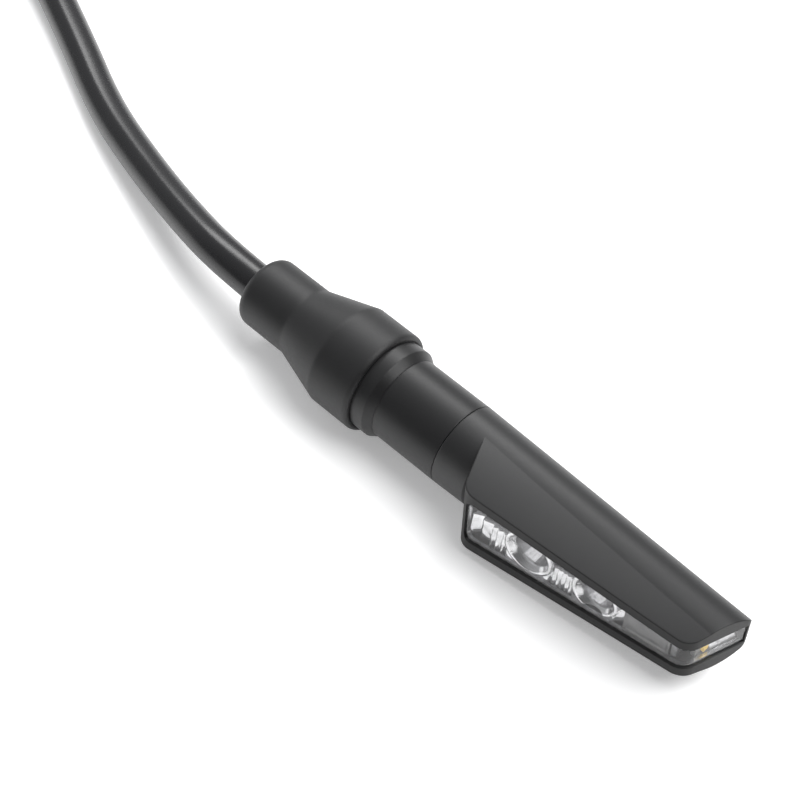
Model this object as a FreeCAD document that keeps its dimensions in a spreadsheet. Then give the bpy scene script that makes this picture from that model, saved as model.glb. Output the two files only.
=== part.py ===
import FreeCAD, Part
import math
import os

# LED turn signal for a motorcycle: turned stem, blade-shaped head with a side lens, rubber boot
# over the fixing nut, and a lead with a small plug.
#
# Millimetres. The origin is the centre of the seat face that bears on the bracket. +X runs along
# the stem axis towards the tip of the head, -Y is the way the side lens faces, and +Z is up.

os.makedirs("parts", exist_ok=True)
doc = FreeCAD.newDocument("TurnSignal")
V = FreeCAD.Vector

SIZES = [
    # stem and mounting base
    ("stem_radius", 7.0),
    ("seam_x", 18.5),
    ("seam_gap", 0.12),
    ("collar_radius", 7.9),
    ("collar_length", 4.6),
    ("collar_chamfer", 1.4),
    ("seat_edge", 0.3),
    ("base_spigot_radius", 5.5),
    ("base_spigot_length", 3.2),
    ("web_length", 1.0),
    ("wire_bore_radius", 2.6),
    # hollow M8 stud: plain shank at the seat, then the thread
    ("shank_radius", 4.0),
    ("shank_length", 2.2),
    ("thread_radius", 3.594),
    ("stud_length", 19.0),
    ("stud_bore_radius", 2.3),
    ("washer_gap", 2.6),
    ("washer_radius", 7.0),
    ("washer_bore", 4.2),
    ("washer_thickness", 1.2),
    ("nut_corner_radius", 6.928),
    ("nut_height", 4.0),
    # rubber boot
    ("boot_lip_x", 2.1),
    ("boot_radius", 8.85),
    ("boot_shoulder_x", -6.1),
    ("boot_neck_x", -15.4),
    ("boot_neck_radius", 6.1),
    ("boot_end_x", -25.5),
    ("boot_lip_round", 0.8),
    ("boot_end_round", 1.6),
    ("boot_cavity_radius", 7.75),
    ("boot_cavity_neck", 4.9),
    ("boot_stud_radius", 4.5),
    # lead
    ("cable_radius", 3.25),
    ("wire_radius", 0.65),
    ("wire_circle", 1.1),
    # joint between stem and head
    ("head_spigot_radius", 5.0),
    ("head_bore_radius", 5.05),
    ("head_spigot_length", 7.9),
    ("lock_groove_radius", 4.4),
    ("lock_groove_start", -6.1),
    ("lock_groove_width", 3.4),
    ("ring_groove_radius", 4.4),
    ("ring_groove_start", -1.6),
    ("ring_groove_width", 1.2),
    ("ring_thickness", 0.6),
    ("screw_radius", 1.5),
    ("screw_tip", 4.6),
    ("screw_top", 6.7),
    ("screw_socket", 0.87),
    # head, measured from the seam
    ("ridge_taper", 0.035),
    ("back_taper", 0.022),
    ("front_depth", 10.9),
    ("front_taper", 0.11),
    ("front_half_height", 7.35),
    ("height_taper", 0.063),
    ("window_half_height", 5.37),
    ("blade_start", 4.0),
    ("blade_slant", 0.46),
    ("fin_sink", 0.03),
    ("tip_x", 49.4),
    ("tip_slant", 0.31),
    ("tip_front_round", 3.0),
    ("tip_back_round", 1.4),
    ("blade_corner_round", 2.8),
    ("blade_end_round", 0.4),
    ("window_corner_round", 1.5),
    ("slot_back", 2.6),
    ("slot_start", 9.3),
    ("tip_slot_end", 4.4),
    ("lens_inset", 0.25),
    ("lens_thickness", 0.8),
    ("seal_width", 0.3),
]

sheet = doc.addObject("Spreadsheet::Sheet", "Sizes")
for row, (alias, value) in enumerate(SIZES, start=1):
    sheet.set(f"A{row}", alias)
    sheet.set(f"B{row}", str(value))
    sheet.setAlias(f"B{row}", alias)
doc.recompute()

nodes = []


def size(alias):
    """A size from the sheet, as a number."""
    return float(sheet.get(alias))


def bind(obj, **formulas):
    """Binds properties of an object to formulas over the sheet's aliases."""
    for prop, formula in formulas.items():
        obj.setExpression(prop.replace("__", "."), formula)
    return obj


def node(obj, name):
    """Marks an object as the finished sub-part of that name."""
    obj.Label = name
    nodes.append(obj)
    return obj


def rod(radius, start, length):
    """A cylinder along X."""
    obj = doc.addObject("Part::Cylinder", "Rod")
    obj.Placement = FreeCAD.Placement(V(0, 0, 0), FreeCAD.Rotation(V(0, 1, 0), 90))
    return bind(obj, Radius=radius, Height=length, Placement__Base__x=start)


def cone(radius1, radius2, start, length):
    """A cone along X."""
    obj = doc.addObject("Part::Cone", "Cone")
    obj.Placement = FreeCAD.Placement(V(0, 0, 0), FreeCAD.Rotation(V(0, 1, 0), 90))
    return bind(obj, Radius1=radius1, Radius2=radius2, Height=length, Placement__Base__x=start)


def fuse(*objects):
    obj = doc.addObject("Part::MultiFuse", "Fuse")
    obj.Shapes = list(objects)
    obj.Refine = True
    return obj


def cut(base, *tools):
    obj = doc.addObject("Part::Cut", "Cut")
    obj.Base = base
    obj.Tool = tools[0] if len(tools) == 1 else fuse(*tools)
    return obj


def solid(shape, name, at=None):
    """A sub-part with a shape of its own, checked for being sound, placed at a point."""
    obj = doc.addObject("Part::Feature", "Shape")
    obj.Shape = shape
    obj.Placement = FreeCAD.Placement(at or V(0, 0, 0), FreeCAD.Rotation())
    return node(obj, name)


# ---------------------------------------------------------------- stem side


def make_mount_base():
    """Collar with the seat face, the hollow stud behind it and a spigot that holds the stem tube."""
    edge = cone("Sizes.collar_radius - Sizes.seat_edge", "Sizes.collar_radius", "0", "Sizes.seat_edge")
    collar = rod("Sizes.collar_radius", "Sizes.seat_edge", "Sizes.collar_length - Sizes.seat_edge")
    chamfer = cone(
        "Sizes.collar_radius", "Sizes.stem_radius", "Sizes.collar_length", "Sizes.collar_chamfer"
    )
    spigot = rod(
        "Sizes.base_spigot_radius",
        "Sizes.collar_length + Sizes.collar_chamfer",
        "Sizes.base_spigot_length",
    )
    shank = rod("Sizes.shank_radius", "-Sizes.shank_length", "Sizes.shank_length")
    thread = rod(
        "Sizes.thread_radius", "-Sizes.stud_length", "Sizes.stud_length - Sizes.shank_length"
    )
    bore = rod("Sizes.stud_bore_radius", "-Sizes.stud_length - 1", "Sizes.stud_length + 20")
    node(cut(fuse(edge, collar, chamfer, spigot, shank, thread), bore), "mount_base")


def make_stem_tube():
    """Tube pressed on the base; its front bore takes the head's spigot and a lock screw."""
    start = "(Sizes.collar_length + Sizes.collar_chamfer)"
    body = rod("Sizes.stem_radius", start, f"Sizes.seam_x - Sizes.seam_gap - {start}")
    back = rod("Sizes.base_spigot_radius", f"{start} - 1", "Sizes.base_spigot_length + 1")
    middle = rod("Sizes.wire_bore_radius", start, "Sizes.seam_x")
    front = rod(
        "Sizes.head_bore_radius",
        f"{start} + Sizes.base_spigot_length + Sizes.web_length",
        "Sizes.seam_x",
    )
    hole = doc.addObject("Part::Cylinder", "ScrewHole")
    hole.Placement = FreeCAD.Placement(V(0, 0, 0), FreeCAD.Rotation(V(1, 0, 0), 180))
    bind(
        hole,
        Radius="Sizes.screw_radius",
        Height="Sizes.stem_radius + 1",
        Placement__Base__x="Sizes.seam_x + Sizes.lock_groove_start + Sizes.lock_groove_width / 2",
    )
    node(cut(body, back, middle, front, hole), "stem_tube")


def make_lock_screw():
    """Socket set screw from below: its end runs in the spigot's groove and clamps the aim."""
    x = "Sizes.seam_x + Sizes.lock_groove_start + Sizes.lock_groove_width / 2"
    body = doc.addObject("Part::Cylinder", "ScrewBody")
    body.Placement = FreeCAD.Placement(V(0, 0, 0), FreeCAD.Rotation(V(1, 0, 0), 180))
    bind(
        body,
        Radius="Sizes.screw_radius",
        Height="Sizes.screw_top - Sizes.screw_tip",
        Placement__Base__x=x,
        Placement__Base__z="-Sizes.screw_tip",
    )
    socket = doc.addObject("Part::Prism", "Socket")
    socket.Polygon = 6
    bind(
        socket,
        Circumradius="Sizes.screw_socket",
        Height="1.1",
        Placement__Base__x=x,
        Placement__Base__z="-Sizes.screw_top - 0.1",
    )
    node(cut(body, socket), "aim_lock_screw")


def make_washer():
    ring = rod(
        "Sizes.washer_radius", "-Sizes.washer_gap - Sizes.washer_thickness", "Sizes.washer_thickness"
    )
    bore = rod("Sizes.washer_bore", "-Sizes.stud_length", "Sizes.stud_length")
    node(cut(ring, bore), "lock_washer")


def make_nut():
    """Small-series M8 nut, 12 mm across its flats, with the corners of both ends turned off."""
    prism = doc.addObject("Part::Prism", "NutBlank")
    prism.Polygon = 6
    prism.Placement = FreeCAD.Placement(V(0, 0, 0), FreeCAD.Rotation(V(0, 1, 0), 90))
    back = "-Sizes.washer_gap - Sizes.washer_thickness - Sizes.nut_height"
    bind(
        prism,
        Circumradius="Sizes.nut_corner_radius",
        Height="Sizes.nut_height",
        Placement__Base__x=back,
    )
    half = "Sizes.nut_height / 2"
    rise = "Sizes.nut_height * 0.8"
    low = "Sizes.nut_corner_radius - 0.7"
    hull = fuse(
        cone(low, f"{low} + {rise}", back, half),
        cone(f"{low} + {rise}", low, f"{back} + {half}", half),
    )
    blank = doc.addObject("Part::Common", "NutBody")
    blank.Base = prism
    blank.Tool = hull
    bore = rod("Sizes.thread_radius", "-Sizes.stud_length", "Sizes.stud_length")
    node(cut(blank, bore), "fixing_nut")


def make_boot():
    """Rubber boot that covers the nut: wide mouth on the collar, cone, and a neck on the lead."""
    wide = rod("Sizes.boot_radius", "Sizes.boot_shoulder_x", "Sizes.boot_lip_x - Sizes.boot_shoulder_x")
    slope = cone(
        "Sizes.boot_neck_radius",
        "Sizes.boot_radius",
        "Sizes.boot_neck_x",
        "Sizes.boot_shoulder_x - Sizes.boot_neck_x",
    )
    neck = rod("Sizes.boot_neck_radius", "Sizes.boot_end_x", "Sizes.boot_neck_x - Sizes.boot_end_x")
    outside = fuse(wide, slope, neck)
    mouth = rod("Sizes.collar_radius", "0", "Sizes.boot_lip_x + 1")
    cavity = rod("Sizes.boot_cavity_radius", "Sizes.boot_shoulder_x", "-Sizes.boot_shoulder_x")
    funnel = cone(
        "Sizes.boot_cavity_neck",
        "Sizes.boot_cavity_radius",
        "Sizes.boot_neck_x",
        "Sizes.boot_shoulder_x - Sizes.boot_neck_x",
    )
    stud = rod(
        "Sizes.boot_stud_radius", "-Sizes.stud_length", "Sizes.stud_length + Sizes.boot_neck_x"
    )
    lead = rod("Sizes.cable_radius", "Sizes.boot_end_x - 1", "Sizes.stud_length")
    raw = cut(outside, mouth, cavity, funnel, stud, lead)
    doc.recompute()
    rounds = []
    wanted = (("boot_lip_x", "boot_radius", "boot_lip_round"),
              ("boot_end_x", "boot_neck_radius", "boot_end_round"))
    for number, edge in enumerate(raw.Shape.Edges, start=1):
        for x, radius, amount in wanted:
            if is_circle(edge, size(x), size(radius)):
                rounds.append((number, size(amount), size(amount)))
    boot = doc.addObject("Part::Fillet", "BootRounds")
    boot.Base = raw
    boot.Edges = rounds
    node(boot, "rubber_boot")


def is_circle(edge, x, radius):
    """Whether an edge is the circle of that radius about the X axis at x."""
    return (
        isinstance(edge.Curve, Part.Circle)
        and abs(edge.Curve.Radius - radius) < 0.01
        and abs(edge.Curve.Center.x - x) < 0.01
        and math.hypot(edge.Curve.Center.y, edge.Curve.Center.z) < 0.01
    )


def make_wires():
    """Three insulated wires from the end of the lead through the stud into the head."""
    for index, name in enumerate(("wire_ground", "wire_signal", "wire_running")):
        angle = math.radians(90 + 120 * index)
        wire = doc.addObject("Part::Cylinder", "Wire")
        wire.Placement = FreeCAD.Placement(V(0, 0, 0), FreeCAD.Rotation(V(0, 1, 0), 90))
        bind(
            wire,
            Radius="Sizes.wire_radius",
            Height="Sizes.stud_length + Sizes.seam_x + 5",
            Placement__Base__x="-Sizes.stud_length",
            Placement__Base__y=f"Sizes.wire_circle * {math.cos(angle):.6f}",
            Placement__Base__z=f"Sizes.wire_circle * {math.sin(angle):.6f}",
        )
        node(wire, name)


# ---------------------------------------------------------------- lead

# Route of the lead's centre line. It starts at the end of the stud and lies on the ground that
# the boot lies on from the fifth point on.
LEAD_ROUTE = [
    (-19.0, 0.0, 0.0),
    (-33.5, 0.0, 0.0),
    (-48.0, 3.0, -2.0),
    (-63.0, 7.2, -4.1),
    (-79.0, 12.2, -5.5),
    (-96.0, 20.0, -5.6),
    (-118.0, 29.2, -5.6),
    (-142.0, 36.2, -5.6),
    (-167.0, 39.2, -5.6),
    (-190.0, 38.2, -5.6),
    (-209.0, 34.5, -5.6),
]


def lead_path(points):
    """Straight runs joined by tangent arcs, each as large as its two runs allow."""
    points = [V(*p) for p in points]
    edges = []
    radii = []
    last = points[0]
    for before, corner, after in zip(points, points[1:], points[2:]):
        back = before.sub(corner)
        on = after.sub(corner)
        reach = 0.45 * min(back.Length, on.Length)
        turn = math.pi - back.getAngle(on)
        radius = reach / math.tan(turn / 2)
        start = corner.add(V(back).normalize().multiply(reach))
        end = corner.add(V(on).normalize().multiply(reach))
        to_centre = V(back).normalize().add(V(on).normalize()).normalize()
        centre = corner.add(to_centre.multiply(radius / math.cos(turn / 2)))
        middle = centre.add(corner.sub(centre).normalize().multiply(radius))
        edges.append(Part.LineSegment(last, start).toShape())
        edges.append(Part.Arc(start, middle, end).toShape())
        radii.append(round(radius, 1))
        last = end
    edges.append(Part.LineSegment(last, points[-1]).toShape())
    print("radii along the lead:", radii)
    return Part.Wire(edges)


def make_lead():
    path = lead_path(LEAD_ROUTE)
    start = V(*LEAD_ROUTE[0])
    heading = V(*LEAD_ROUTE[1]).sub(start)
    ring = Part.Wire([Part.makeCircle(size("cable_radius"), start, heading)])
    tube = path.makePipeShell([ring], True, False)
    area = math.pi * size("cable_radius") ** 2
    print("lead length", round(path.Length, 1), "volume ratio", round(tube.Volume / area / path.Length, 4))
    solid(tube, "lead_cable")


def make_plug():
    """Three-way plug at the end of the lead, with a rubber seal and its pins."""
    end = V(*LEAD_ROUTE[-1])
    heading = end.sub(V(*LEAD_ROUTE[-2]))
    turn = FreeCAD.Rotation(V(1, 0, 0), heading)
    half = size("cable_radius")
    seal = Part.makeCylinder(half, 4, V(0, 0, 0), V(1, 0, 0))
    shell = Part.makeBox(17, 11, 2 * half, V(4, -5.5, -half))
    shell = shell.makeFillet(1.2, [e for e in shell.Edges if abs(e.tangentAt(0).x) > 0.9])
    mouth = Part.makeBox(7, 8.6, 2 * half - 2.2, V(14.5, -4.3, 1.1 - half))
    shell = shell.cut(mouth)
    pins = [Part.makeCylinder(0.6, 5.5, V(14.5, y, 0), V(1, 0, 0)) for y in (-2.7, 0, 2.7)]
    for shape, name in ((seal, "plug_seal"), (shell, "plug_shell"), (Part.Compound(pins), "plug_pins")):
        obj = solid(shape, name)
        obj.Placement = FreeCAD.Placement(end, turn)


# ---------------------------------------------------------------- head, measured from the seam


def front(x):
    """How far in front of the axis the flat front of the blade is."""
    return -(size("front_depth") - size("front_taper") * x)


def back(x):
    """How far behind the axis the rounded back is."""
    return size("stem_radius") - size("back_taper") * x


def ridge(x):
    """Half height of the head at its axis."""
    return size("stem_radius") - size("ridge_taper") * x


def half_height(x):
    """Half height of the blade at its front."""
    return size("front_half_height") - size("height_taper") * x


def window(x):
    """Half height of the window in the blade's front."""
    return size("window_half_height") - size("height_taper") * x


def loft(sections):
    wires = [s if isinstance(s, Part.Wire) else Part.makePolygon(s) for s in sections]
    return Part.makeLoft(wires, True, True)


def section(x, corners):
    """A closed outline across the axis at x, from (y, z) corners."""
    ring = [V(x, y, z) for y, z in corners]
    return ring + ring[:1]


def slab(x0, x1, y0, y1, half):
    """A slab along X: y0 and y1 are functions or numbers, half gives its half height."""
    def at(edge, x):
        return edge(x) if callable(edge) else edge
    ends = []
    for x in (x0, x1):
        a, b, h = at(y0, x), at(y1, x), at(half, x)
        ends.append(section(x, ((a, -h), (b, -h), (b, h), (a, h))))
    return loft(ends)


def tip_line(y, inset=0.0):
    return size("tip_x") + size("tip_slant") * y - inset


def meet_tip(depth, inset=0.0):
    """Where a line y = depth(x) meets the slanted tip."""
    x = size("tip_x")
    for _ in range(30):
        x = tip_line(depth(x), inset)
    return x, depth(x)


def plan(inset, left):
    """Outline of the head seen from above as a tall prism, its walls inset by that much."""
    def near(x):
        return front(x) + inset
    def far(x):
        return back(x) - inset + 0.02
    front_tip = meet_tip(near, inset)
    back_tip = meet_tip(far, inset)
    corner_x = (size("blade_start") + size("blade_slant") * size("front_depth")) / (
        1 + size("blade_slant") * size("front_taper")
    )
    shoulder = -size("stem_radius") - 0.02
    shoulder_x = size("blade_start") - size("blade_slant") * shoulder
    outline = [
        (left, far(left)),
        (left, shoulder),
        (shoulder_x + inset, shoulder),
        (corner_x + inset, near(corner_x + inset)),
        front_tip,
        back_tip,
    ]
    prism = tall_prism(outline)
    rounds = (
        (outline[3], size("blade_corner_round") - inset),
        (front_tip, size("tip_front_round") - inset),
        (back_tip, max(size("tip_back_round") - inset, 0.3)),
    )
    for (x, y), radius in rounds:
        if radius > 0.05:
            edge = [
                e
                for e in prism.Edges
                if abs(e.Vertexes[0].X - x) < 0.01
                and abs(e.Vertexes[0].Y - y) < 0.01
                and abs(e.Vertexes[-1].X - x) < 0.01
                and abs(e.Vertexes[-1].Y - y) < 0.01
            ]
            prism = prism.makeFillet(radius, edge)
    return prism


def fin_section(x):
    """Blade across the axis: flat top and bottom that leave the oval back where they touch it."""
    wide, tall = back(x), ridge(x)
    reach_y, reach_z = -front(x) / wide, half_height(x) / tall
    leave = math.atan2(reach_y, reach_z) - math.acos(1 / math.hypot(reach_y, reach_z))
    y, z = -wide * math.sin(leave), tall * math.cos(leave) - size("fin_sink")
    past = 2
    slope = (half_height(x) - z) / (front(x) - y)
    nose_y, nose_z = front(x) - past, half_height(x) - past * slope
    return section(x, ((y, z), (nose_y, nose_z), (nose_y, -nose_z), (y, -z), (y + 1.5, 0)))


def tall_prism(outline, height=12):
    """A prism on both sides of the head's mid-plane."""
    ring = [V(x, y, -height) for x, y in outline]
    return Part.Face(Part.makePolygon(ring + ring[:1])).extrude(V(0, 0, 2 * height))


def round_left(left, y, half, radius, reach):
    """Bar 2 * half high from left on, with rounded corners at its left end, extruded by reach."""
    right = 75
    flat = half - radius
    bend = radius * (1 - math.sqrt(0.5))
    upper = Part.Arc(V(left, y, flat), V(left + bend, y, half - bend), V(left + radius, y, half))
    lower = Part.Arc(V(left + radius, y, -half), V(left + bend, y, bend - half), V(left, y, -flat))
    sides = [
        Part.LineSegment(V(left, y, -flat), V(left, y, flat)),
        upper,
        Part.LineSegment(V(left + radius, y, half), V(right, y, half)),
        Part.LineSegment(V(right, y, half), V(right, y, -half)),
        Part.LineSegment(V(right, y, -half), V(left + radius, y, -half)),
        lower,
    ]
    return Part.Face(Part.Wire([side.toShape() for side in sides])).extrude(reach)


def blade():
    """Blade and oval back of the head as one closed body, before the window is cut."""
    begin = size("blade_start")
    end = size("tip_x") + 4
    far_side = 14
    left = begin - 2 * size("blade_slant")
    reach = V(size("blade_slant"), -1, 0) * (far_side + 2)
    ahead = round_left(left, 2, size("stem_radius"), size("blade_end_round"), reach)
    circle = Part.Wire([Part.makeCircle(size("stem_radius"), V(0, 0, 0), V(1, 0, 0))])
    oval = Part.Ellipse(V(end, back(end), 0), V(end, 0, ridge(end)), V(end, 0, 0))
    rear = Part.makeLoft([circle, Part.Wire([oval.toShape()])], True, True)
    fin = loft([fin_section(begin - 1), fin_section(end)]).common(ahead)
    return rear.fuse(fin).common(plan(0.0, 0.0))


def slot(left, back_y, half):
    """The milled slot: from the blade's front back to back_y, open at the tip."""
    end = size("tip_x") + 5
    pocket = slab(left, end, lambda x: front(x) - 3, back_y, half)
    beyond = Part.makeBox(20, 20, 30, V(tip_line(0) - 3, size("tip_slot_end"), -15))
    rounded = round_left(left, 21, half(left), size("window_corner_round"), V(0, -45, 0))
    return pocket.common(rounded).cut(beyond)


def at_seam():
    return V(size("seam_x"), 0, 0)


def make_housing():
    """Machined head: blade, slot for the light unit, spigot with lock groove and ring groove."""
    body = blade()
    spigot = Part.makeCylinder(
        size("head_spigot_radius"), size("head_spigot_length") + 1,
        V(-size("head_spigot_length"), 0, 0), V(1, 0, 0)
    )
    for groove in ("lock_groove", "ring_groove"):
        start = V(size(groove + "_start"), 0, 0)
        width = size(groove + "_width")
        outer = Part.makeCylinder(size("head_spigot_radius") + 1, width, start, V(1, 0, 0))
        spigot = spigot.cut(outer.cut(Part.makeCylinder(size(groove + "_radius"), width, start, V(1, 0, 0))))
    body = body.fuse(spigot)
    body = body.cut(slot(size("slot_start"), size("slot_back"), window))
    tip_pocket = slab(size("tip_x") - 6.0, size("tip_x") + 5, 0, size("tip_slot_end"), window)
    body = body.cut(tip_pocket)
    bore = Part.makeCylinder(size("wire_bore_radius"), 30, V(-10, 0, 0), V(1, 0, 0))
    body = body.cut(bore.common(Part.makeBox(size("slot_start") + 10.5, 30, 30, V(-10, -15, -15))))
    solid(body, "head_housing", at_seam())


def lens_band(outer, inner, gap):
    """Band between two insets of the plan, inside the slot, with a gap above and below."""
    room = slot(size("slot_start") + gap, 20, lambda x: window(x) - gap)
    return plan(outer, 0.0).common(room).cut(plan(inner, -5.0))


def lens_limit():
    """The part of the plan that the lens may fill: in front of the slot's end at the tip."""
    return Part.makeBox(70, 40, 30, V(0, size("tip_slot_end") - 40, -15))


def make_lens():
    outer = size("lens_inset")
    inner = outer + size("lens_thickness")
    limit = lens_limit()
    clear = lens_band(outer, inner, size("seal_width")).common(limit)
    whole = lens_band(outer + 0.3, inner, 0.0).common(limit)
    solid(largest(clear), "clear_lens", at_seam())
    solid(largest(whole.cut(clear)), "lens_seal", at_seam())


def largest(shape):
    return max(shape.Solids, key=lambda s: s.Volume)


def make_light_unit():
    """Boards, light sources and reflectors behind the lens."""
    lens_back = size("lens_inset") + size("lens_thickness")
    play = 0.25

    def behind(gap):
        return lambda x: front(x) + lens_back + gap

    def inside(x):
        return window(x) - play

    start = size("slot_start") + size("seal_width") + 1.6
    block = slab(start, 36.6, behind(0.3), 0.9, inside)
    lights = []
    for x, mouth in ((20.0, 3.7), (31.6, 3.45)):
        depth = 0.9 - front(x) - lens_back
        bowl = Part.makeCone(mouth, 1.35, depth + 0.02, V(x, 0.91 - depth - 0.02, 0), V(0, 1, 0))
        block = block.cut(bowl)
        lights.append(Part.makeBox(1.7, 0.8, 1.7, V(x - 0.85, 0.2, -0.85)))
    solid(largest(block), "side_reflector", at_seam())
    for number, light in enumerate(lights, start=1):
        solid(light, f"side_led_{number}", at_seam())
    board = slab(start, 44.6, 1.0, 2.0, inside)
    solid(board, "side_board", at_seam())
    solid(slab(37.0, 44.2, behind(1.1), behind(1.7), inside), "smoked_panel", at_seam())
    solid(Part.makeBox(4.0, 1.1, 3.0, V(38.2, -0.1, -1.5)), "driver_chip", at_seam())
    solid(Part.makeBox(1.2, 0.6, 2.2, V(42.6, 0.4, -1.1)), "chip_resistor", at_seam())
    rim = slab(44.6, 45.4, behind(0.3), 2.0, inside)
    rim = rim.cut(slab(44.0, 46.0, behind(1.2), 0.8, lambda x: window(x) - play - 0.7))
    solid(largest(rim), "tip_frame", at_seam())
    half = window(46) - play
    tip_board = Part.makeBox(0.7, 5.8, 2 * half, V(46.6, -2.6, -half))
    solid(tip_board, "tip_board", at_seam())
    solid(Part.makeBox(0.55, 1.0, 3.8, V(47.3, -1.3, -1.9)), "tip_led", at_seam())
    wing = slab(47.35, 48.4, 0.6, 1.2, lambda x: window(x) - play)
    solid(wing, "tip_reflector", at_seam())


def make_ring():
    """O-ring in the spigot's groove, which seals the head against the stem."""
    thick = size("ring_thickness") / 2
    centre = (size("ring_groove_radius") + size("head_bore_radius")) / 2
    middle = size("ring_groove_start") + size("ring_groove_width") / 2
    ring = Part.makeTorus(centre, thick, V(middle, 0, 0), V(1, 0, 0))
    solid(ring, "head_seal_ring", at_seam())


make_mount_base()
make_stem_tube()
make_lock_screw()
make_washer()
make_nut()
make_boot()
make_wires()
make_lead()
make_plug()
make_housing()
make_lens()
make_light_unit()
make_ring()
doc.recompute()

for obj in doc.Objects:
    if {"Invalid", "Error"} & set(obj.State):
        raise RuntimeError(f"{obj.Name} {obj.Label}: {obj.State}")
for old in os.listdir("parts"):
    os.remove(os.path.join("parts", old))
for obj in nodes:
    shape = obj.Shape
    if shape.isNull() or not shape.isValid() or not shape.Solids:
        raise RuntimeError(f"{obj.Label} is not a sound solid")
    box = shape.BoundBox
    print(f"{obj.Label:16s} {shape.Volume:9.1f} mm3 solids {len(shape.Solids)} "
          f"x {box.XMin:.1f} {box.XMax:.1f} y {box.YMin:.1f} {box.YMax:.1f} z {box.ZMin:.1f} {box.ZMax:.1f}")
    shape.exportStep(f"parts/{obj.Label}.step")
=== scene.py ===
import math

import bpy
from mathutils import Matrix, Vector


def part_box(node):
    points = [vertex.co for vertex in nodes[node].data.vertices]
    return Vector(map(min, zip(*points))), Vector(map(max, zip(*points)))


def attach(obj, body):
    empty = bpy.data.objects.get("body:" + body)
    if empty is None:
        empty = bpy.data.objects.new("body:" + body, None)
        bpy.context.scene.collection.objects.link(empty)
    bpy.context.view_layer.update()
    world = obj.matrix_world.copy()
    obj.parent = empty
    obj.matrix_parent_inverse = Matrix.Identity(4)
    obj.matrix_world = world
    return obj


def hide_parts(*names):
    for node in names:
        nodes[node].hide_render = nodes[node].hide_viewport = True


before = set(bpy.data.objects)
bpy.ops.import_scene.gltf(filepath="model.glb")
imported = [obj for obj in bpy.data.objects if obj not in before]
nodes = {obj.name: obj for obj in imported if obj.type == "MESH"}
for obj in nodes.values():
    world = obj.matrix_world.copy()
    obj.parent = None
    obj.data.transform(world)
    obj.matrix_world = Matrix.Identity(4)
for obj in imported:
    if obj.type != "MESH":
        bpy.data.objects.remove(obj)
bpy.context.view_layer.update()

MM = 0.001
SEAM = 18.5              # mm from the seat to the seam, where the head starts
LENS_CLEARANCE = 1.15    # mm from the blade's front face to what lies behind the lens
RIM_START = 24.5         # mm from the seat, where the dark rim round the lens starts
RIDGE = 1.5              # mm in front of the mid-plane, where the blade's top starts to fall
scene = bpy.context.scene


# ---------------------------------------------------------------- camera and stage

def make_camera():
    """The photograph's viewpoint."""
    data = bpy.data.cameras.new("camera")
    data.lens, data.sensor_width = 89.5, 36.0
    data.clip_start, data.clip_end = 0.005, 20.0
    camera = bpy.data.objects.new("camera", data)
    scene.collection.objects.link(camera)
    right, up, back = (0.7156, 0.6980, 0.0282), (-0.5621, 0.5515, 0.6164), (0.4147, -0.4570, 0.7870)
    turn = Matrix((right, up, back)).transposed()
    camera.matrix_world = Matrix.Translation((0.1322, -0.1400, 0.2401)) @ turn.to_4x4()
    scene.camera = camera


def make_light(name, place, aim, width, height, power, glossy=True):
    """Softbox that faces aim."""
    data = bpy.data.lights.new(name, "AREA")
    data.shape, data.size, data.size_y, data.energy = "RECTANGLE", width, height, power
    lamp = bpy.data.objects.new(name, data)
    scene.collection.objects.link(lamp)
    lamp.visible_camera, lamp.visible_glossy = False, glossy
    lamp.location = place
    lamp.rotation_mode = "QUATERNION"
    lamp.rotation_quaternion = (Vector(aim) - Vector(place)).to_track_quat("-Z", "Y")


def make_world():
    """Pale surroundings, brightest behind and above the stem's end."""
    world = bpy.data.worlds.new("studio")
    world.use_nodes = True
    tree = world.node_tree
    background = tree.nodes["Background"]
    background.inputs["Color"].default_value = (0.97, 0.98, 1.0, 1)
    place = tree.nodes.new("ShaderNodeTexCoord")
    towards = tree.nodes.new("ShaderNodeVectorMath")
    towards.operation = "DOT_PRODUCT"
    towards.inputs[1].default_value = (-0.65, 0.36, 0.67)
    link(tree, place.outputs["Generated"], towards.inputs[0])
    glow = tree.nodes.new("ShaderNodeMapRange")
    glow.inputs["From Min"].default_value, glow.inputs["From Max"].default_value = -0.2, 1.0
    glow.inputs["To Min"].default_value, glow.inputs["To Max"].default_value = 0.07, 0.66
    link(tree, towards.outputs["Value"], glow.inputs["Value"])
    rays = tree.nodes.new("ShaderNodeLightPath")
    strength = tree.nodes.new("ShaderNodeMix")
    link(tree, rays.outputs["Is Camera Ray"], strength.inputs["Factor"])
    link(tree, glow.outputs["Result"], strength.inputs["A"])
    strength.inputs["B"].default_value = 0.92
    link(tree, strength.outputs["Result"], background.inputs["Strength"])
    scene.world = world


def make_stage():
    """White floor at the boot's underside, pale surroundings and soft lamps."""
    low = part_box("rubber_boot")[0].z
    bpy.ops.mesh.primitive_plane_add(size=8, location=(0, 0, low))
    floor = bpy.context.object
    floor.name = "floor"
    floor.data.materials.append(surface("floor_white", (0.93, 0.93, 0.93), 0.15, shine=0.15, vary=0.02,
                                        size=60, bump=0.0, glow=0.3))
    make_world()
    scene.view_settings.view_transform = "Standard"
    sun = bpy.data.lights.new("key", "SUN")
    sun.energy, sun.angle = 2.7, math.radians(50)
    key = bpy.data.objects.new("key", sun)
    scene.collection.objects.link(key)
    key.rotation_mode = "QUATERNION"
    key.rotation_quaternion = Vector((-0.22, -0.18, -0.53)).to_track_quat("-Z", "Y")
    make_light("streak", (-0.30, 0.31, 0.40), (0.02, 0, 0), 0.50, 0.15, 2.0)
    make_light("front", (0.05, -0.90, 0.18), (0.05, 0, 0), 0.90, 0.36, 0.5, glossy=False)


# ---------------------------------------------------------------- materials

def link(tree, source, target):
    tree.links.new(source, target)


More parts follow.
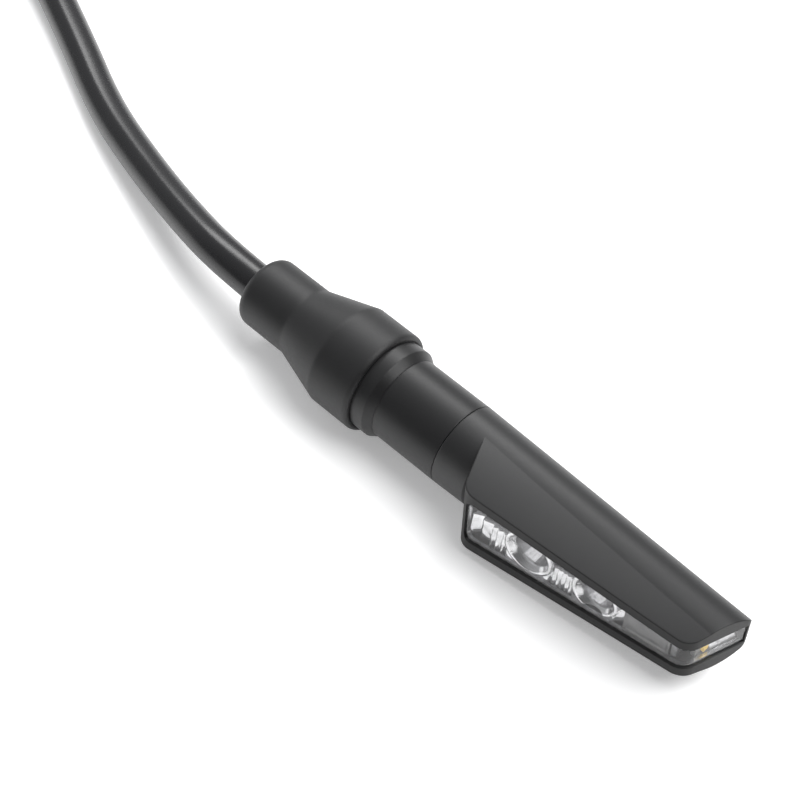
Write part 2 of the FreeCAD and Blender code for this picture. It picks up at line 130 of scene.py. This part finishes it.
def noise(tree, size, detail=2.0, stretch=(1, 1, 1), rough=0.5):
    """Noise in the row frame, its grains about size mm across. Returns the value socket."""
    place = tree.nodes.new("ShaderNodeTexCoord")
    scale = tree.nodes.new("ShaderNodeMapping")
    scale.inputs["Scale"].default_value = stretch
    grain = tree.nodes.new("ShaderNodeTexNoise")
    grain.inputs["Scale"].default_value = 1000.0 / size
    grain.inputs["Detail"].default_value = detail
    grain.inputs["Roughness"].default_value = rough
    link(tree, place.outputs["Object"], scale.inputs["Vector"])
    link(tree, scale.outputs["Vector"], grain.inputs["Vector"])
    return grain.outputs["Fac"]


def span(tree, value, low, high):
    """value from 0..1 onto low..high."""
    node = tree.nodes.new("ShaderNodeMapRange")
    node.inputs["From Min"].default_value, node.inputs["From Max"].default_value = 0.25, 0.75
    node.inputs["To Min"].default_value, node.inputs["To Max"].default_value = low, high
    link(tree, value, node.inputs["Value"])
    return node.outputs["Result"]


def surface(name, colour, rough, metal=0.0, shine=0.5, vary=0.12, size=3.0, grain=0.25, bump=0.15,
            stretch=(1, 1, 1), coat=0.0, edge=0.0, glow=0.0, crown=False):
    """Principled material with cloudy colour, uneven gloss and a fine grain."""
    mat = bpy.data.materials.new(name)
    mat.use_nodes = True
    tree = mat.node_tree
    main = tree.nodes["Principled BSDF"]
    clouds = noise(tree, size, 3.0, stretch)
    fine = noise(tree, grain, 2.0, stretch, 0.6)
    ramp = tree.nodes.new("ShaderNodeMix")
    ramp.data_type = "RGBA"
    other = tuple(min(1.0, c * (1 + vary)) for c in colour)
    ramp.inputs["A"].default_value = (*(c * (1 - vary) for c in colour), 1)
    ramp.inputs["B"].default_value = (*other, 1)
    link(tree, span(tree, clouds, 0.0, 1.0), ramp.inputs["Factor"])
    link(tree, ramp.outputs["Result"], main.inputs["Base Color"])
    link(tree, span(tree, fine, rough * 0.92, min(1.0, rough * 1.1)), main.inputs["Roughness"])
    main.inputs["Metallic"].default_value = metal
    main.inputs["Specular IOR Level"].default_value = shine
    main.inputs["Coat Weight"].default_value = coat
    main.inputs["Coat Roughness"].default_value = 0.08
    main.inputs["Emission Strength"].default_value = glow
    link(tree, ramp.outputs["Result"], main.inputs["Emission Color"])
    height = tree.nodes.new("ShaderNodeBump")
    height.inputs["Strength"].default_value = bump
    height.inputs["Distance"].default_value = 0.02 * MM
    link(tree, fine, height.inputs["Height"])
    if edge:
        round_edge = tree.nodes.new("ShaderNodeBevel")
        round_edge.samples = 6
        round_edge.inputs["Radius"].default_value = edge * MM
        link(tree, round_edge.outputs["Normal"], height.inputs["Normal"])
    # crown also paints shade on the rim round the lens, beside bending the top face's normal
    if crown:
        link(tree, crowned(tree, round_edge.outputs["Normal"]), height.inputs["Normal"])
        paint_rim_shade(tree, main, ramp.outputs["Result"])
    link(tree, height.outputs["Normal"], main.inputs["Normal"])
    return mat


def number(tree, operation, first, second):
    """Result socket of a Math node on two sockets or plain numbers."""
    node = tree.nodes.new("ShaderNodeMath")
    node.operation = operation
    for socket, value in zip(node.inputs, (first, second)):
        if isinstance(value, float):
            socket.default_value = value
        else:
            link(tree, value, socket)
    return node.outputs["Value"]


def paint_rim_shade(tree, main, colour):
    """Painted shade on the rim round the lens: the blade's faces towards the front and the tip are painted
    near black and made less glossy.
    """
    place = tree.nodes.new("ShaderNodeTexCoord")
    facing = tree.nodes.new("ShaderNodeSeparateXYZ")
    link(tree, place.outputs["Normal"], facing.inputs["Vector"])
    spot = tree.nodes.new("ShaderNodeSeparateXYZ")
    link(tree, place.outputs["Object"], spot.inputs["Vector"])
    frontwards = number(tree, "MULTIPLY", facing.outputs["Y"], -1.0)
    outward = number(tree, "MAXIMUM", frontwards, facing.outputs["X"])
    beside_lens = number(tree, "GREATER_THAN", spot.outputs["X"], RIM_START * MM)
    share = number(tree, "MULTIPLY", number(tree, "GREATER_THAN", outward, 0.65), beside_lens)
    # painted shade: near-black colour on the faces turned to the front and the tip
    dark = tree.nodes.new("ShaderNodeMix")
    dark.data_type = "RGBA"
    link(tree, share, dark.inputs["Factor"])
    link(tree, colour, dark.inputs["A"])
    dark.inputs["B"].default_value = (0.008, 0.008, 0.008, 1)
    link(tree, dark.outputs["Result"], main.inputs["Base Color"])
    # painted shade: less gloss on the same faces keeps them dark
    shine = number(tree, "SUBTRACT", 0.5, number(tree, "MULTIPLY", share, 0.32))
    link(tree, shine, main.inputs["Specular IOR Level"])


def crowned(tree, normal):
    """Normal of a face that falls away gently from the ridge to the blade's front edge."""
    place = tree.nodes.new("ShaderNodeTexCoord")
    parts = tree.nodes.new("ShaderNodeSeparateXYZ")
    link(tree, place.outputs["Object"], parts.inputs["Vector"])
    beyond = number(tree, "MINIMUM", number(tree, "ADD", parts.outputs["Y"], RIDGE * MM), 0.0)
    drop = number(tree, "MULTIPLY", number(tree, "MULTIPLY", beyond, beyond), -16.0)
    fall = tree.nodes.new("ShaderNodeBump")
    fall.inputs["Strength"].default_value, fall.inputs["Distance"].default_value = 1.0, 1.0
    link(tree, drop, fall.inputs["Height"])
    link(tree, normal, fall.inputs["Normal"])
    return fall.outputs["Normal"]


def clear(name, see, rough):
    """Clear moulded plastic: see-through, with a reflection that grows towards grazing."""
    mat = bpy.data.materials.new(name)
    mat.use_nodes = True
    tree = mat.node_tree
    tree.nodes.remove(tree.nodes["Principled BSDF"])
    through = tree.nodes.new("ShaderNodeBsdfTransparent")
    haze = tree.nodes.new("ShaderNodeMix")
    haze.data_type = "RGBA"
    haze.inputs["A"].default_value = (see, see, see, 1)
    haze.inputs["B"].default_value = (see * 0.97, see * 0.97, see * 0.97, 1)
    link(tree, span(tree, noise(tree, 4.0), 0, 1), haze.inputs["Factor"])
    link(tree, haze.outputs["Result"], through.inputs["Color"])
    mirror = tree.nodes.new("ShaderNodeBsdfGlossy")
    mirror.inputs["Color"].default_value = (1, 1, 1, 1)
    link(tree, span(tree, noise(tree, 1.5), rough * 0.7, rough * 1.3), mirror.inputs["Roughness"])
    angle = tree.nodes.new("ShaderNodeFresnel")
    angle.inputs["IOR"].default_value = 1.45
    side = tree.nodes.new("ShaderNodeNewGeometry")
    outer = number(tree, "SUBTRACT", 1.0, side.outputs["Backfacing"])
    mix = tree.nodes.new("ShaderNodeMixShader")
    link(tree, number(tree, "MULTIPLY", angle.outputs["Fac"], outer), mix.inputs["Fac"])
    link(tree, through.outputs["BSDF"], mix.inputs[1])
    link(tree, mirror.outputs["BSDF"], mix.inputs[2])
    link(tree, mix.outputs["Shader"], tree.nodes["Material Output"].inputs["Surface"])
    return mat


def dress(name, mat):
    """Gives a CAD node its material."""
    obj = nodes[name]
    if not obj.material_slots:
        obj.data.materials.append(mat)
    for place in obj.material_slots:
        place.link = "OBJECT"
        place.material = mat


def make_materials():
    """Dresses every CAD node. Returns the reflector's metal."""
    shell = surface("shell_satin_black", (0.012, 0.012, 0.0125), 0.42, shine=0.42, vary=0.06, size=9,
                    grain=0.12, bump=0.22, edge=0.28, crown=True)
    dress("head_housing", shell)
    turned = surface("stem_satin_black", (0.010, 0.010, 0.0105), 0.40, shine=0.38, vary=0.06, size=7,
                     grain=0.12, bump=0.2, edge=0.25)
    dress("mount_base", turned)
    dress("stem_tube", turned)
    steel = surface("zinc_plate", (0.60, 0.61, 0.62), 0.28, metal=1.0, vary=0.15, size=1.2, grain=0.1,
                    bump=0.25, edge=0.15)
    for name in ("aim_lock_screw", "lock_washer", "fixing_nut"):
        dress(name, steel)
    dress("rubber_boot", surface("boot_rubber", (0.011, 0.011, 0.0115), 0.48, shine=0.42, vary=0.16,
                                 size=5, grain=0.2, bump=0.35, edge=1.0))
    seal = surface("seal_rubber", (0.018, 0.018, 0.018), 0.6, vary=0.2, size=1.0, grain=0.1, bump=0.2)
    for name in ("head_seal_ring", "plug_seal"):
        dress(name, seal)
    for name, colour in (("wire_ground", (0.02, 0.02, 0.02)), ("wire_signal", (0.75, 0.22, 0.03)),
                         ("wire_running", (0.78, 0.78, 0.75))):
        dress(name, surface(name + "_sheath", colour, 0.4, vary=0.1, size=2, grain=0.1, bump=0.1))
    dress("plug_shell", surface("plug_moulding", (0.030, 0.030, 0.032), 0.42, vary=0.15, size=3,
                                grain=0.12, bump=0.3, edge=0.3))
    dress("plug_pins", surface("tinned_brass", (0.78, 0.68, 0.42), 0.25, metal=1.0, vary=0.1, size=0.8,
                               grain=0.1, bump=0.1))
    dress("side_board", surface("side_board_resist", (0.10, 0.10, 0.10), 0.4, vary=0.4, size=0.8,
                                grain=0.2, bump=0.2))
    dress("tip_board", surface("tip_board_resist", (0.34, 0.34, 0.35), 0.3, metal=0.6, vary=0.2,
                               size=1.5, grain=0.2, bump=0.2))
    dress("driver_chip", surface("chip_moulding", (0.03, 0.03, 0.03), 0.45, vary=0.2, size=0.6,
                                 grain=0.1, bump=0.2))
    dress("chip_resistor", surface("ceramic_body", (0.72, 0.70, 0.66), 0.4, vary=0.1, size=0.5,
                                   grain=0.1, bump=0.1))
    white = surface("led_phosphor_pale", (0.80, 0.74, 0.48), 0.3, vary=0.12, size=0.5, grain=0.08,
                    bump=0.1, coat=0.6)
    dress("side_led_1", white)
    dress("side_led_2", white)
    # amber phosphor with a faint painted glow that brightens the unlit LED
    dress("tip_led", surface("led_phosphor_amber_painted_glow", (0.95, 0.56, 0.04), 0.35, vary=0.25, size=0.5,
                             grain=0.08, bump=0.1, coat=0.3, glow=0.25))
    silver = surface("metallised", (0.76, 0.76, 0.77), 0.15, metal=1.0, vary=0.12, size=1.2, grain=0.5,
                     bump=0.5)
    dress("lens_seal", surface("bonded_edge", (0.80, 0.80, 0.81), 0.14, metal=1.0, vary=0.12, size=1.0,
                               grain=0.2, bump=0.2))
    dress("tip_frame", surface("frame_moulding", (0.32, 0.32, 0.33), 0.22, metal=0.5, vary=0.3, size=0.6,
                               grain=0.15, bump=0.4))
    dress("clear_lens", clear("clear_plastic", 0.985, 0.03))
    return silver


# ---------------------------------------------------------------- cord

LEAD_ROUTE = [
    (-19.0, 0.0, 0.0),
    (-33.5, 0.0, 0.0),
    (-48.0, 3.0, -2.0),
    (-63.0, 7.2, -4.1),
    (-79.0, 12.2, -5.5),
    (-96.0, 20.0, -5.6),
    (-118.0, 29.2, -5.6),
    (-142.0, 36.2, -5.6),
    (-167.0, 39.2, -5.6),
    (-190.0, 38.2, -5.6),
    (-209.0, 34.5, -5.6),
]


def make_lead():
    """Round sheathed lead from the stud, through the boot, to the plug."""
    curve = bpy.data.curves.new("lead", "CURVE")
    curve.dimensions = "3D"
    spline = curve.splines.new("NURBS")
    spline.points.add(len(LEAD_ROUTE) - 1)
    for point, place in zip(spline.points, LEAD_ROUTE):
        point.co = (*(Vector(place) * MM), 1)
    spline.order_u, spline.use_endpoint_u = 3, True
    spline.resolution_u = 24
    curve.bevel_depth, curve.bevel_resolution, curve.use_fill_caps = 3.25 * MM, 10, True
    lead = bpy.data.objects.new("lead", curve)
    scene.collection.objects.link(lead)
    curve.materials.append(surface("lead_sheath", (0.008, 0.008, 0.009), 0.26, shine=0.45, vary=0.15,
                                   size=6, grain=0.5, bump=0.12))
    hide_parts("lead_cable")
    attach(lead, "stem")


# ---------------------------------------------------------------- reflector

def front(x):
    """Y of the blade's front face, in mm, x mm from the seam."""
    return -(10.9 - 0.11 * x)


def window(x):
    """Half the height of the blade's opening, in mm, x mm from the seam."""
    return 5.37 - 0.063 * x


def grid(columns, rows):
    """Faces between the points of a grid that is listed column by column."""
    faces = []
    for i in range(columns - 1):
        for j in range(rows - 1):
            a = i * rows + j
            faces.append((a, a + rows, a + rows + 1, a + 1))
    return faces


def mesh_piece(name, verts, faces, mat):
    """Smooth mesh from points in mm from the seam, riding on the head."""
    mesh = bpy.data.meshes.new(name)
    mesh.from_pydata([((x + SEAM) * MM, y * MM, z * MM) for x, y, z in verts], [], faces)
    mesh.materials.append(mat)
    mesh.shade_smooth()
    piece = bpy.data.objects.new(name, mesh)
    scene.collection.objects.link(piece)
    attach(piece, "head")
    return piece


def thicken(piece, wall, side):
    """Gives a sheet a wall in mm, on one side of it."""
    solid = piece.modifiers.new("wall", "SOLIDIFY")
    solid.thickness, solid.offset = wall * MM, side


CUPS = ((20.0, 3.7), (31.6, 3.45))      # centre from the seam and radius of each bowl, in mm
REFLECTOR_ENDS = (9.4, 36.6)
REFLECTOR_GAP = 0.27
PANEL_ENDS = (36.8, 44.4)


def reflector_depth(x, z):
    """How far the metallised face lies behind its mouth plane, in mm."""
    for centre, wide in CUPS:
        along, r = x - centre, math.hypot(x - centre, z)
        if r < wide:
            share = r / wide
            turn = math.atan2(z, along)
            petals = 0.30 * abs(math.sin(4 * turn)) * share
            if share > 0.82:
                return 0.15 + 0.7 * (1 - share) / 0.18
            return 1.0 + 5.6 * (1 - (share / 0.82) ** 2) + petals
        if r < wide + 0.3:
            return 0.0
    inward = (window(x) - REFLECTOR_GAP - abs(z)) * (0.45 if z < 0 else 1.0)
    ripple = 0.05 * math.sin(2.9 * x + 1.7 * z) * math.sin(1.3 * z)
    if x < 11.2:
        return 0.25 + 0.34 * inward + 0.45 * (x - 9.4)
    if x < 11.35:
        return 2.6
    if x < 13.3:
        return 0.5 + 0.24 * inward + 0.18 * (x - 11.3) + ripple
    if x < 16.3:
        return 0.15 + 0.36 * inward + 0.3 * abs(math.sin(math.pi * (x - 13.3))) + ripple
    if 23.7 < x < 28.1:
        return 0.15 + 0.36 * inward + 0.2 * abs(math.sin(math.pi * (x - 23.7) / 0.73)) + ripple
    if x > 35.0:
        return 0.2 + 0.36 * inward + 0.4 * (x - 35.0)
    return 0.1 + 0.4 * inward + ripple


def make_reflector(silver):
    """Metallised insert with two ringed bowls, ribs between them and a closed back."""
    step, rows, deepest = 0.1, 81, 0.15
    start, end = REFLECTOR_ENDS
    columns = [start + step * i for i in range(int((end - start) / step) + 1)]
    verts = []
    for x in columns:
        half = window(x) - REFLECTOR_GAP
        for j in range(rows):
            z = half * (2 * j / (rows - 1) - 1)
            verts.append((x, min(front(x) + LENS_CLEARANCE + reflector_depth(x, z), deepest), z))
    face = mesh_piece("reflector_bowls", verts, grid(len(columns), rows), silver)
    thicken(face, 0.25, 1.0)
    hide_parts("side_reflector")


def make_smoked_panel():
    """Smoked cover over the driver, with a fine raised border."""
    start, end = PANEL_ENDS
    columns, rows = 73, 25
    verts = []
    for i in range(columns):
        x = start + (end - start) * i / (columns - 1)
        half = window(x) - 0.3
        for j in range(rows):
            share = 2 * j / (rows - 1) - 1
            edge = min(x - start, end - x, half * (1 - abs(share)))
            sunk = 0.16 * min(1.0, max(0.0, (edge - 0.25) / 0.2))
            lines = 0.02 * math.sin(5.2 * x) * min(1.0, edge)
            verts.append((x, front(x) + LENS_CLEARANCE + sunk + lines, half * share))
    smoke = surface("smoked_cover", (0.085, 0.085, 0.085), 0.22, shine=0.6, vary=0.35, size=2.2, grain=0.3,
                    bump=0.25, stretch=(0.5, 1, 2))
    panel = mesh_piece("smoked_cover", verts, grid(columns, rows), smoke)
    thicken(panel, 0.3, 1.0)
    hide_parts("smoked_panel")


CONTACTS = ((40.9, 0.30, 0.16), (41.6, 0.42, 0.26), (42.5, 0.34, 0.34), (43.2, 0.46, 0.20),
            (43.8, 0.30, 0.30), (43.0, -1.1, 0.16))      # x, z and radius of each, in mm


def make_contacts():
    """Row of bright tinned domes on the smoked cover."""
    tin = surface("contact_tin", (0.85, 0.84, 0.80), 0.2, metal=1.0, vary=0.1, size=0.4, grain=0.1, bump=0.2)
    rings, sides = 4, 10
    verts, faces = [], []
    for x, z, wide in CONTACTS:
        base = len(verts)
        for k in range(rings):
            lift = math.sin(math.pi / 2 * k / rings)
            r = wide * math.cos(math.pi / 2 * k / rings)
            for m in range(sides):
                turn = 2 * math.pi * m / sides
                y = front(x) + 1.30 - 0.14 * lift
                verts.append((x + r * math.cos(turn), y, z + 0.6 * r * math.sin(turn)))
        verts.append((x, front(x) + 1.16, z))
        for k in range(rings - 1):
            for m in range(sides):
                n = (m + 1) % sides
                faces.append((base + k * sides + m, base + k * sides + n, base + (k + 1) * sides + n,
                              base + (k + 1) * sides + m))
        top = base + (rings - 1) * sides
        for m in range(sides):
            faces.append((top + m, top + (m + 1) % sides, base + rings * sides))
    mesh_piece("panel_contacts", verts, faces, tin)


def make_tip_trough():
    """Curved metallised trough beside the tip's light."""
    silver = surface("tip_metallised", (0.62, 0.62, 0.63), 0.30, metal=1.0, vary=0.1, size=1.5, grain=0.4,
                     bump=0.2)
    columns, rows = 44, 33
    verts = []
    for i in range(columns):
        y = -0.2 + 4.3 * i / (columns - 1)
        for j in range(rows):
            share = 2 * j / (rows - 1) - 1
            curl = 0.25 * math.exp(-((y - 1.1 - 0.5 * share * share) / 0.25) ** 2)
            x = 48.25 + 0.31 * y - 0.68 * (1 - abs(share) ** 1.5) + curl * (1 - share * share)
            verts.append((x, y, 2.08 * share))
    trough = mesh_piece("tip_trough", verts, grid(columns, rows), silver)
    thicken(trough, 0.12, -1.0)
    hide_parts("tip_reflector")


make_camera()
make_lead()
silver = make_materials()
make_stage()
make_reflector(silver)
make_smoked_panel()
make_contacts()
make_tip_trough()
